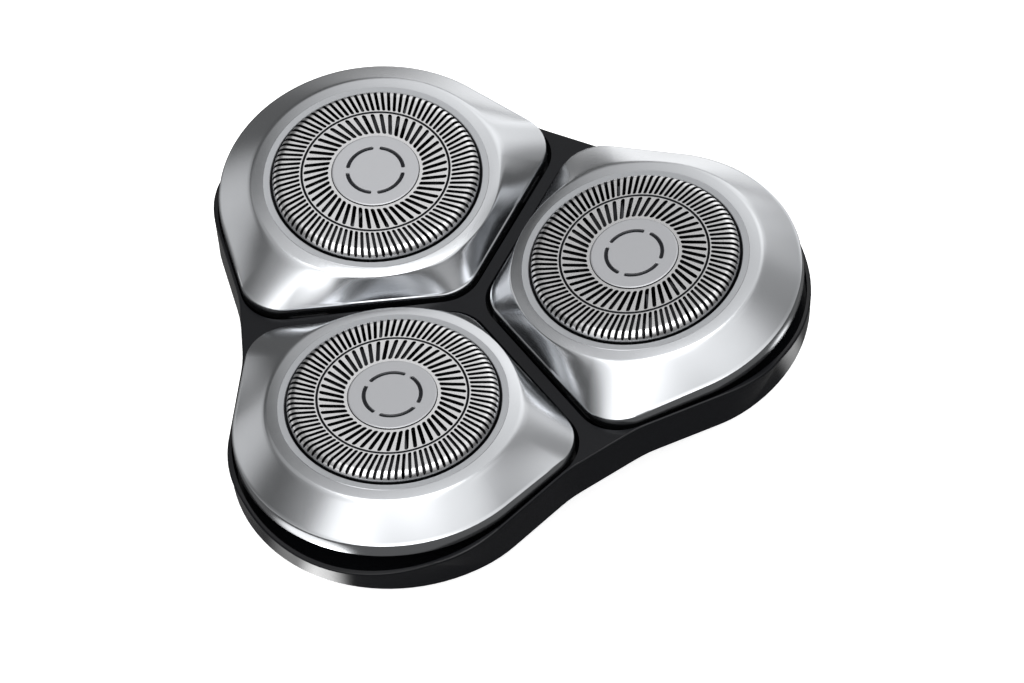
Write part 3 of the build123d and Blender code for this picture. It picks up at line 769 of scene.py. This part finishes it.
@dataclass
class CentreDisc:
    """The blasted disc in the middle of a guard, with four arc grooves.

    Attributes:
        radius: The disc's radius.
        rise: How far its top stands above the guard's.
        seat: How far its underside lies below the guard's top.
        chamfer: Width and height of its bevelled edge.
        bevel_turn: Where the bevel steepens, out and down as shares of the chamfer.
        groove_r: Radius of the arc grooves.
        groove_width: Their width.
        groove_depth: Their depth.
        groove_wall: Width of their sloping walls.
        groove_count: How many there are.
        gap: Angle between two grooves, as drawn between their round ends.
        columns: Mesh columns round the disc.
        middle_rows: Radii of the mesh rows nearer the middle than the grooves, the first a tiny face's.
        margin_rows: Radii of the mesh rows outside the grooves.
        rim_row: Distance of the last of these from the bevel.
        turns: Angle of the first gap, for each unit.
    """

    radius: float = 4.68
    rise: float = 0.15
    seat: float = 0.35
    chamfer: float = 0.18
    bevel_turn: Spot = (0.6, 0.25)
    groove_r: float = 2.95
    groove_width: float = 0.38
    groove_depth: float = 0.2
    groove_wall: float = 0.05
    groove_count: int = 4
    gap: float = 13.3
    columns: int = 480
    middle_rows: tuple[float, ...] = (0.02, 0.8, 1.6, 2.4)
    margin_rows: tuple[float, ...] = (3.7, 4.2)
    rim_row: float = 0.05
    turns: dict[int, float] = field(default_factory=lambda: {1: 58.1, 2: 54.2, 3: 83.7})

    def groove_share(self, radius: float, angle: float) -> float:
        """Work out how deep in a groove a point is.

        Args:
            radius: The point's distance from the centre.
            angle: Its angle from the first gap in degrees.

        Returns:
            A share from zero to one.
        """
        pitch = 360 / self.groove_count
        off = (angle % pitch) - pitch / 2
        reach = (pitch - self.gap) / 2
        along = max(0.0, abs(off) - reach + degrees(self.groove_width / 2 / self.groove_r))
        side = hypot(radians(along) * self.groove_r, radius - self.groove_r)
        edge = self.groove_width / 2 - side
        return min(1.0, max(0.0, edge / self.groove_wall + 0.5))

    def painted_shade_at(self, points: list[Point], face: Face) -> bool:
        """Tell the faces painted dark as painted shade: the lower half of the grooves and the steep half of
        the bevel.

        Args:
            points: The disc's vertices.
            face: Vertex numbers of the face.

        Returns:
            Whether the face's middle is that low, and no lower than the grooves' floor.
        """
        lowest, highest = self.rise - self.groove_depth, self.rise
        slack = 0.01
        middle = sum(points[k][2] for k in face) / len(face)
        return lowest - slack < middle < (lowest + highest) / 2

    def build(
        self, place: UnitPlace, metal: bpy.types.Material, shade_paint: bpy.types.Material
    ) -> bpy.types.Object:
        """Make the disc of one unit.

        Args:
            place: Where the unit stands.
            metal: The disc's material.
            shade_paint: The painted-shade material: a dark colour painted in the grooves and on the bevel's
                steep half, as a thin painted shade line round the disc.

        Returns:
            The object.
        """
        half = self.groove_width / 2
        rim = self.radius - self.chamfer
        radii = list(self.middle_rows) + [self.groove_r + half * share for share in ARC_GROOVE_SHARES]
        radii += list(self.margin_rows) + [rim - self.rim_row, rim]
        points: list[Point] = []
        for r in radii:
            for k in range(self.columns):
                angle = 360 * k / self.columns
                drop = self.groove_depth * self.groove_share(r, angle - self.turns[place.number])
                turn = radians(angle)
                points.append((r * cos(turn), r * sin(turn), self.rise - drop))
        across, down = self.bevel_turn
        edge = [(rim + self.chamfer * across, self.rise - self.chamfer * down)]
        edge += [(self.radius, self.rise - self.chamfer), (self.radius, -self.seat), (radii[0], -self.seat)]
        for r, z in edge:
            for k in range(self.columns):
                turn = 2 * pi * k / self.columns
                points.append((r * cos(turn), r * sin(turn), z))
        rows = len(radii) + len(edge)
        faces = grid_faces(rows, self.columns)
        faces.append(tuple(range(self.columns)))
        faces.append(tuple((rows - 1) * self.columns + k for k in range(self.columns)))
        # Faces low in the grooves and on the bevel's steep half are painted dark as painted shade.
        marks = [SECOND_MATERIAL if self.painted_shade_at(points, face) else MAIN_MATERIAL for face in faces]
        disc = MeshParts(points, faces, marks).to_object(f"centre_disc_{place.number}", place, [metal, shade_paint])
        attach(disc, f"unit_{place.number}")
        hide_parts(f"guard_disc_{place.number}")
        return disc


@dataclass
class UnitCover:
    """The silver shell round a guard: a rounded sector that slopes down from a flat lip.

    Attributes:
        outer_r: Radius of the outline's outer arc.
        flank: Distance of the flank lines from the centre.
        flank_angle: Angle of their normals.
        side: Distance of the inner side lines from the centre.
        side_angle: Angle of their normals.
        corner_r: Radius of the corners between flank and side.
        nose_r: Radius of the corner towards the head's axis.
        edge_drop: Height of the outline's upper edge below the guard's top.
        wall: Height of the outline's wall.
        skin: Thickness of the shell.
        roof: How far the inside of the wall stops below the upper edge.
        lip_r: Radius of the opening for the guard.
        lip_round: Rounding of the opening's edge.
        lip_flat_r: Outer radius of the flat lip.
        lip_drop: Height of the lip below the guard's top.
        lip_thickness: Thickness at the lip.
        lip_step: Width and height of the step round the lip.
        band_r: Outer radius of the shallow band.
        band_drop: Height of the band's outer edge below the guard's top.
        edge_round: Radius of the outline's edges.
        crown: How far the slope bulges at its middle.
        ease: Share of the slope that rounds into the band.
        band_share: The slope's tilt at the band as a share of its mean tilt.
    """

    outer_r: float = 17.2
    flank: float = 16.86
    flank_angle: float = 71.0
    side: float = GUARD_RADIUS + COVER_SIDE
    side_angle: float = 150.0
    corner_r: float = 4.8
    nose_r: float = 4.5
    edge_drop: float = 3.8
    wall: float = 1.6
    skin: float = 0.9
    roof: float = 0.1
    lip_r: float = 11.25
    lip_round: float = 0.06
    lip_flat_r: float = 11.95
    lip_drop: float = 0.93
    lip_thickness: float = 1.05
    lip_step: float = 0.03
    band_r: float = 13.05
    band_drop: float = 1.08
    edge_round: float = 0.22
    crown: float = 0.04
    ease: float = 0.15
    band_share: float = 0.2

    def outline(self, inset: float) -> list[Spot]:
        """Sample the outline, moved inward.

        Args:
            inset: How far each point moves in, square to the outline.

        Returns:
            The points, the same number for each inset.
        """
        first, last = self.flank_angle, self.side_angle
        shift = (self.outer_r - self.flank) / (1 - cos(radians(first)))
        corner = crossing(first, self.flank - self.corner_r, last, self.side - self.corner_r)
        nose = crossing(last, self.side - self.nose_r, -last, self.side - self.nose_r)
        arcs = arc_points((shift, 0), self.outer_r - shift - inset, 0, first, ARC_STEP)
        arcs += arc_points(corner, self.corner_r - inset, first, last, CORNER_STEP)
        arcs += arc_points(nose, self.nose_r - inset, last, 180, CORNER_STEP)
        upper = self.fill(arcs)
        lower = [(x, -y) for x, y in reversed(upper[1:-1])]
        return upper + lower

    def fill(self, path: list[Spot]) -> list[Spot]:
        """Divide the two straight stretches of half the outline, always the same way.

        Args:
            path: The points of its three arcs.

        Returns:
            The points with those between the arcs added.
        """
        flank_at = round(self.flank_angle / ARC_STEP)
        side_at = flank_at + 1 + round((self.side_angle - self.flank_angle) / CORNER_STEP)
        parts_at = {flank_at: FLANK_PARTS, side_at: SIDE_PARTS}
        filled = [path[0]]
        for k in range(len(path) - 1):
            (x0, y0), (x1, y1) = path[k], path[k + 1]
            parts = parts_at.get(k, 1)
            filled += [(x0 + (x1 - x0) * p / parts, y0 + (y1 - y0) * p / parts) for p in range(1, parts + 1)]
        return filled

    def eased(self, share: float) -> float:
        """Return how much of the slope's fall is done, with its start rounded into the band."""
        start = share**2 / (2 * self.ease) if share < self.ease else share - self.ease / 2
        return self.band_share * share + (1 - self.band_share) * start / (1 - self.ease / 2)

    def ring(self, radius: float, height: float) -> list[Point]:
        """Return a round row, with a point in the direction of each point of the outline."""
        directions = [atan2(y, x) for x, y in self.outline(0.0)]
        return [(radius * cos(a), radius * sin(a), height) for a in directions]

    def edge(self, inset: float, height: float) -> list[Point]:
        """Return a row that follows the outline."""
        return [(x, y, height) for x, y in self.outline(inset)]

    def lip_rows(self) -> list[list[Point]]:
        """Draw the opening's wall and the flat lip.

        Returns:
            Their rows, from the underside outward.
        """
        return [
            self.ring(self.lip_r, -self.lip_drop - self.lip_thickness),
            self.ring(self.lip_r, -self.lip_drop - self.lip_round),
            self.ring(self.lip_r + self.lip_round, -self.lip_drop),
            self.ring(self.lip_flat_r - self.lip_step, -self.lip_drop),
            self.ring(self.lip_flat_r, -self.lip_drop),
        ]

    def band_rows(self) -> list[list[Point]]:
        """Draw the small step round the lip and the shallow band.

        Returns:
            Their rows, outward.
        """
        step_drop = self.lip_drop + self.lip_step
        tilt = (self.band_drop - step_drop) / (self.band_r - self.lip_flat_r - self.lip_step)
        return [
            self.ring(self.lip_flat_r + self.lip_step, -step_drop),
            self.ring(self.lip_flat_r + 2 * self.lip_step, -step_drop - tilt * self.lip_step),
            self.ring(self.band_r, -self.band_drop),
        ]

    def slope_rows(self) -> list[list[Point]]:
        """Draw the slope from the band down to the first row of the upper edge.

        Returns:
            Its rows, outward.
        """
        inset, rise = UPPER_EDGE[0]
        ends = self.outline(self.edge_round * inset)
        directions = [atan2(y, x) for x, y in self.outline(0.0)]
        fall = self.edge_drop - self.edge_round * rise - self.band_drop
        rows = []
        for share in SLOPE_SHARES:
            done = self.eased(share)
            height = -self.band_drop - fall * done + 4 * self.crown * done * (1 - done)
            radii = [self.band_r + (hypot(x, y) - self.band_r) * share for x, y in ends]
            rows.append([(r * cos(a), r * sin(a), height) for r, a in zip(radii, directions)])
        return rows

    def wall_rows(self) -> list[list[Point]]:
        """Draw the rest of the upper edge, the wall, the lower edge and the inside.

        Returns:
            Their rows, from the slope's end down and back in to the lip's underside.
        """
        r, foot = self.edge_round, -self.edge_drop - self.wall
        rows = [self.edge(r * inset, r * rise - self.edge_drop) for inset, rise in UPPER_EDGE[1:]]
        rows += [self.edge(r * inset, r * rise + foot) for inset, rise in LOWER_EDGE]
        rows.append(self.edge(self.skin, foot))
        rows.append(self.edge(self.skin, -self.edge_drop - self.roof))
        rows.append(self.ring(self.band_r - self.skin, -self.lip_drop - self.lip_thickness))
        return rows

    def build(
        self, place: UnitPlace, plated: bpy.types.Material, etched: bpy.types.Material
    ) -> bpy.types.Object:
        """Make the cover of one unit.

        Args:
            place: Where the unit stands.
            plated: Material of the slopes and walls.
            etched: Material of the flat lip and the opening's wall.

        Returns:
            The object.
        """
        lip = self.lip_rows()
        rows = lip + self.band_rows() + self.slope_rows() + self.wall_rows() + lip[:1]
        points = [point for row in rows for point in row]
        columns = len(lip[0])
        faces = grid_faces(len(rows), columns)
        etched_faces = (len(lip) - 1) * columns
        marks = [SECOND_MATERIAL if k < etched_faces else MAIN_MATERIAL for k in range(len(faces))]
        name = f"silver_cover_{place.number}"
        cover = MeshParts(points, faces, marks).to_object(name, place, [plated, etched])
        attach(cover, f"unit_{place.number}")
        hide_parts(f"unit_cover_{place.number}")
        return cover


@dataclass
class Mechanism:
    """The pieces that keep their modelled shape and only need their finish.

    Attributes:
        finishes: The finish of each group of nodes, by the start of the node's name.
    """

    finishes: dict[str, Finish] = field(
        default_factory=lambda: {
            "housing": GLOSS_ABS,
            "gear_case": MATT_ABS,
            "case_screws": ZINC_STEEL,
            "drive_gear": ACETAL,
            "unit_gear": ACETAL,
            "spindle_spring": DRAWN_WIRE,
            "spindle": ACETAL,
            "unit_frame": MATT_ABS,
            "retainer": MATT_ABS,
            "cutter_carrier": MATT_ABS,
            # The blades take the steel painted dark as painted shade.
            "cutter": PAINTED_SHADE_BLADE_STEEL,
        }
    )

    def dress(self, nodes: dict[str, bpy.types.Object]) -> None:
        """Give each carried-over node its finish, the one with the longest matching start.

        Args:
            nodes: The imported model's objects by name.
        """
        made: dict[str, bpy.types.Material] = {}
        for start, finish in sorted(self.finishes.items(), key=lambda pair: len(pair[0])):
            if finish.name not in made:
                made[finish.name] = finish.build()
            for name, node in nodes.items():
                if name.startswith(start):
                    for slot in node.material_slots:
                        slot.material = made[finish.name]
            log.info("dressed %s in %s", start, finish.name)


@dataclass(frozen=True)
class Glow:
    """A soft patch of brightness in the room round the object.

    Attributes:
        azimuth: Its direction, from x towards y, in degrees.
        elevation: Its height in degrees.
        inner: Half-angle of its even middle.
        outer: Half-angle where it has faded out.
        strength: Its brightness.
    """

    azimuth: float
    elevation: float
    inner: float
    outer: float
    strength: float

    def direction(self) -> Point:
        """Return the unit vector to the patch's middle."""
        a, e = radians(self.azimuth), radians(self.elevation)
        return (cos(a) * cos(e), sin(a) * cos(e), sin(e))

    def share(self, tree: bpy.types.NodeTree, way: bpy.types.NodeSocket) -> bpy.types.NodeSocket:
        """Make the patch.

        Args:
            tree: The world's nodes.
            way: The direction looked in.

        Returns:
            The socket of the patch's brightness in that direction.
        """
        middle = {"operation": "DOT_PRODUCT", 1: self.direction()}
        facing = add_node(tree, "ShaderNodeVectorMath", middle, {0: way})
        fade = {
            "interpolation_type": "SMOOTHSTEP",
            "From Min": cos(radians(self.outer)),
            "From Max": cos(radians(self.inner)),
            "To Min": 0.0,
            "To Max": self.strength,
        }
        patch = add_node(tree, "ShaderNodeMapRange", fade, {"Value": facing.outputs["Value"]})
        return patch.outputs["Result"]


@dataclass(frozen=True)
class Pool:
    """A soft pool of light on the floor, as the polished surfaces mirror it.

    Attributes:
        x: Its middle, right of the head's axis, in millimetres.
        y: Its middle, behind the head's axis, in millimetres.
        inner: Radius of its even middle in millimetres.
        outer: Radius where it has faded out in millimetres.
        strength: Its brightness.
    """

    x: float
    y: float
    inner: float
    outer: float
    strength: float

    def share(self, tree: bpy.types.NodeTree, spot: bpy.types.NodeSocket) -> bpy.types.NodeSocket:
        """Make the pool.

        Args:
            tree: The floor's nodes.
            spot: The place on the floor.

        Returns:
            The socket of the pool's brightness at that place.
        """
        middle = {"operation": "DISTANCE", 1: (self.x * MM, self.y * MM, 0.0)}
        away = add_node(tree, "ShaderNodeVectorMath", middle, {0: spot})
        fade = {
            "interpolation_type": "SMOOTHSTEP",
            "From Min": self.inner * MM,
            "From Max": self.outer * MM,
            "To Min": self.strength,
            "To Max": 0.0,
        }
        pool = add_node(tree, "ShaderNodeMapRange", fade, {"Value": away.outputs["Value"]})
        return pool.outputs["Result"]


def added(
    tree: bpy.types.NodeTree, level: float, shares: list[bpy.types.NodeSocket]
) -> bpy.types.NodeSocket:
    """Add brightnesses up.

    Args:
        tree: The node tree.
        level: Brightness to start from.
        shares: The sockets to add.

    Returns:
        The socket of the sum.
    """
    base = add_node(tree, "ShaderNodeValue")
    base.outputs[0].default_value = level
    total = base.outputs[0]
    for share in shares:
        total = add_node(tree, "ShaderNodeMath", {"operation": "ADD"}, {0: total, 1: share}).outputs["Value"]
    return total


@dataclass
class Studio:
    """Floor, soft light and the camera.

    Attributes:
        room: Brightness of the room between the patches.
        mirrored: Share of the white background that the metal shows.
        glows: The patches of brightness round the object.
        floor_half: Half the floor's side in metres.
        floor_drop: How far the floor lies under the part, so that the two don't coincide.
        floor_colour: The paper's colour as sRGB hex.
        floor_level: Brightness of the floor between the pools, as the polished surfaces mirror it.
        pools: The pools of light on the floor.
        floor_lift: Brightness that the camera sees over the floor's own.
        lamp_height: Height of the soft box over the object in metres.
        lamp_size: The soft box's side in metres.
        lamp_watts: The soft box's power.
        elevation: The camera's height in degrees.
        azimuth: The camera's angle about the head's axis.
        roll: The camera's roll, clockwise.
        distance: From the camera to the middle of the guards' tops.
        focal_px: Focal length in pixels of the photograph's frame.
        middle_px: Where the middle of the guards' tops lies, right and down of the frame's centre.
        target: The middle of the guards' tops.
        sight: How far the camera sees, in metres.
    """

    room: float = 0.05
    mirrored: float = 0.08
    glows: tuple[Glow, ...] = (
        Glow(60, 3, 4, 19, 0.65),
        Glow(75, 3, 4, 19, 0.9),
        Glow(150, 3, 8, 32, 0.84),
        Glow(214, 6, 4, 22, 1.3),
        Glow(315, 18, 4, 19, 0.5),
        Glow(36, 33, 8, 32, 0.33),
        Glow(72, 33, 8, 32, 1.0),
        Glow(66, 35, 4, 20, 0.45),
        Glow(233, 33, 4, 20, 1.4),
        Glow(252, 34, 6, 18, 1.4),
        Glow(298, 20, 4, 16, 0.2),
        Glow(42, 18, 4, 16, 0.3),
        Glow(353, 43, 4, 18, 0.35),
        Glow(224, 48, 4, 19, 1.5),
        Glow(140, 50, 4, 20, 0.35),
        Glow(268, 56, 6, 26, 0.6),
        Glow(314, 48, 4, 19, 0.36),
        Glow(43, 65, 4, 20, 0.55),
        Glow(198, 63, 8, 32, 0.32),
        Glow(330, 63, 8, 32, 1.15),
        Glow(95, 71, 6, 20, 0.85),
        Glow(240, 78, 8, 32, 1.2),
    )
    floor_half: float = 1.5
    floor_drop: float = 0.02
    floor_colour: str = "#f4f4f4"
    floor_level: float = 0.15
    pools: tuple[Pool, ...] = (
        Pool(30, 60, 10, 40, 1.3),
        Pool(30, 90, 10, 40, 0.2),
        Pool(0, 90, 10, 40, 0.4),
        Pool(0, 120, 6, 22, 1.0),
        Pool(90, 90, 10, 40, 1.5),
        Pool(50, 130, 20, 65, 1.3),
        Pool(-21.5, -31.3, 1, 5, 7.0),
        Pool(-28, -33, 5, 11, 1.6),
        Pool(39.5, -6.5, 1, 5, 1.8),
    )
    floor_lift: float = 0.82
    lamp_height: float = 0.9
    lamp_size: float = 0.5
    lamp_watts: float = 2.0
    elevation: float = 50.49
    azimuth: float = 2.81
    roll: float = 8.525
    distance: float = 713.9
    focal_px: float = 6857.5
    middle_px: Spot = (-44.78, -69.23)
    target: Point = (0.0, 0.0, 16.2)
    sight: float = 10.0

    def build(self) -> None:
        """Make everything round the object."""
        self.add_world()
        self.add_floor()
        self.add_lamp()
        self.add_camera()

    def add_world(self) -> None:
        """Make the room: a dim grey with soft brighter patches, white where the camera sees it."""
        world = bpy.data.worlds.new("studio_room")
        bpy.context.scene.world = world
        world.use_nodes = True
        tree = world.node_tree
        tree.nodes.clear()
        way = add_node(tree, "ShaderNodeTexCoord").outputs["Generated"]
        level = added(tree, self.room, [glow.share(tree, way) for glow in self.glows])
        white = (1.0, 1.0, 1.0, 1.0)
        light = add_node(tree, "ShaderNodeBackground", {"Color": white}, {"Strength": level})
        plain = add_node(tree, "ShaderNodeBackground", {"Color": white, "Strength": 1.0})
        path = add_node(tree, "ShaderNodeLightPath").outputs
        weight = {"operation": "MULTIPLY", 1: self.mirrored}
        shown = add_node(tree, "ShaderNodeMath", weight, {0: path["Is Glossy Ray"]})
        direct = {0: path["Is Camera Ray"], 1: path["Is Transmission Ray"]}
        through = add_node(tree, "ShaderNodeMath", {"operation": "MAXIMUM"}, direct)
        either = {0: through.outputs["Value"], 1: shown.outputs["Value"]}
        seen = add_node(tree, "ShaderNodeMath", {"operation": "MAXIMUM"}, either)
        backgrounds = {1: light.outputs["Background"], 2: plain.outputs["Background"]}
        mixed = add_node(tree, "ShaderNodeMixShader", {}, {0: seen.outputs["Value"], **backgrounds})
        add_node(tree, "ShaderNodeOutputWorld", {}, {"Surface": mixed.outputs["Shader"]})

    def add_floor(self) -> None:
        """Lay a wide white paper floor that keeps the object's shadow."""
        half = self.floor_half
        mesh = bpy.data.meshes.new("studio_floor")
        corners = [(-half, -half, 0), (half, -half, 0), (half, half, 0), (-half, half, 0)]
        mesh.from_pydata(corners, [], [(0, 1, 2, 3)])
        mesh.materials.append(self.paper())
        floor = bpy.data.objects.new("studio_floor", mesh)
        floor.location.z = -self.floor_drop * MM
        bpy.context.scene.collection.objects.link(floor)

    def paper(self) -> bpy.types.Material:
        """Make the floor's paper: white to the camera, and pools of light to what mirrors it.

        Returns:
            The material, with its nodes.
        """
        material = bpy.data.materials.new("white_paper")
        material.use_nodes = True
        tree = material.node_tree
        tree.nodes.clear()
        path = add_node(tree, "ShaderNodeLightPath").outputs
        paper = add_node(tree, "ShaderNodeBsdfDiffuse", {"Color": linear(self.floor_colour)})
        direct = {0: path["Is Camera Ray"], 1: path["Is Transmission Ray"]}
        seen = add_node(tree, "ShaderNodeMath", {"operation": "MAXIMUM"}, direct)
        weight = {"operation": "MULTIPLY", 1: self.floor_lift}
        lift = add_node(tree, "ShaderNodeMath", weight, {0: seen.outputs["Value"]})
        glow = add_node(tree, "ShaderNodeEmission", {}, {"Strength": lift.outputs["Value"]})
        layers = {0: paper.outputs["BSDF"], 1: glow.outputs["Emission"]}
        plain = add_node(tree, "ShaderNodeAddShader", {}, layers)
        spot = add_node(tree, "ShaderNodeTexCoord").outputs["Object"]
        level = added(tree, self.floor_level, [pool.share(tree, spot) for pool in self.pools])
        lit = add_node(tree, "ShaderNodeEmission", {}, {"Strength": level})
        looks = {1: plain.outputs["Shader"], 2: lit.outputs["Emission"]}
        both = add_node(tree, "ShaderNodeMixShader", {}, {0: path["Is Glossy Ray"], **looks})
        add_node(tree, "ShaderNodeOutputMaterial", {}, {"Surface": both.outputs["Shader"]})
        return material

    def add_lamp(self) -> None:
        """Hang the soft box over the object."""
        data = bpy.data.lights.new("overhead_soft_box", "AREA")
        data.shape = "SQUARE"
        data.size = self.lamp_size
        data.energy = self.lamp_watts
        lamp = bpy.data.objects.new("overhead_soft_box", data)
        lamp.location = (0.0, 0.0, self.lamp_height)
        bpy.context.scene.collection.objects.link(lamp)

    def add_camera(self) -> None:
        """Set the camera at the photograph's angle, with no shift and no depth of field."""
        a, e, roll = radians(self.azimuth), radians(self.elevation), radians(self.roll)
        back = Vector((sin(a) * cos(e), -cos(a) * cos(e), sin(e)))
        right = Vector((cos(a), sin(a), 0))
        up = back.cross(right)
        up, right = up * cos(roll) + right * sin(roll), right * cos(roll) - up * sin(roll)
        target = Vector(self.target)
        spot = target + back * self.distance
        per_px = self.distance / self.focal_px
        aim = target - right * self.middle_px[0] * per_px + up * self.middle_px[1] * per_px
        back = (spot - aim).normalized()
        right = up.cross(back).normalized()
        up = back.cross(right)
        turn = Matrix((right, up, back)).transposed().to_4x4()
        data = bpy.data.cameras.new("camera")
        data.sensor_width = SENSOR_MM
        data.lens = self.focal_px * SENSOR_MM / IMAGE_WIDTH_PX
        data.clip_end = self.sight
        camera = bpy.data.objects.new("camera", data)
        camera.matrix_world = Matrix.Translation(spot * MM) @ turn
        bpy.context.scene.collection.objects.link(camera)
        bpy.context.scene.camera = camera


def main() -> None:
    """Build the head's looks, piece by piece."""
    logging.basicConfig(level=logging.INFO, format="%(message)s")
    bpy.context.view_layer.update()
    bpy.context.scene.view_settings.view_transform = "Standard"
    Studio().build()
    Mechanism().dress(frame["nodes"])
    # The third material is painted shade: a dark colour painted in the slots, the grooves and on the disc's
    # bevel.
    steel, metal, shade_paint = STAMPED_STEEL.build(), BLASTED_DISC.build(), PAINTED_SHADE_GROOVE.build()
    plated, etched = PLATED_ABS.build(), ETCHED_LIP.build()
    for number in UNIT_NUMBERS:
        place = UnitPlace(number)
        for piece in (
            SlottedGuard().build(place, steel, shade_paint),
            CentreDisc().build(place, metal, shade_paint),
            UnitCover().build(place, plated, etched),
        ):
            log.info("built %s with %d faces", piece.name, len(piece.data.polygons))


if __name__ == "__main__":
    main()
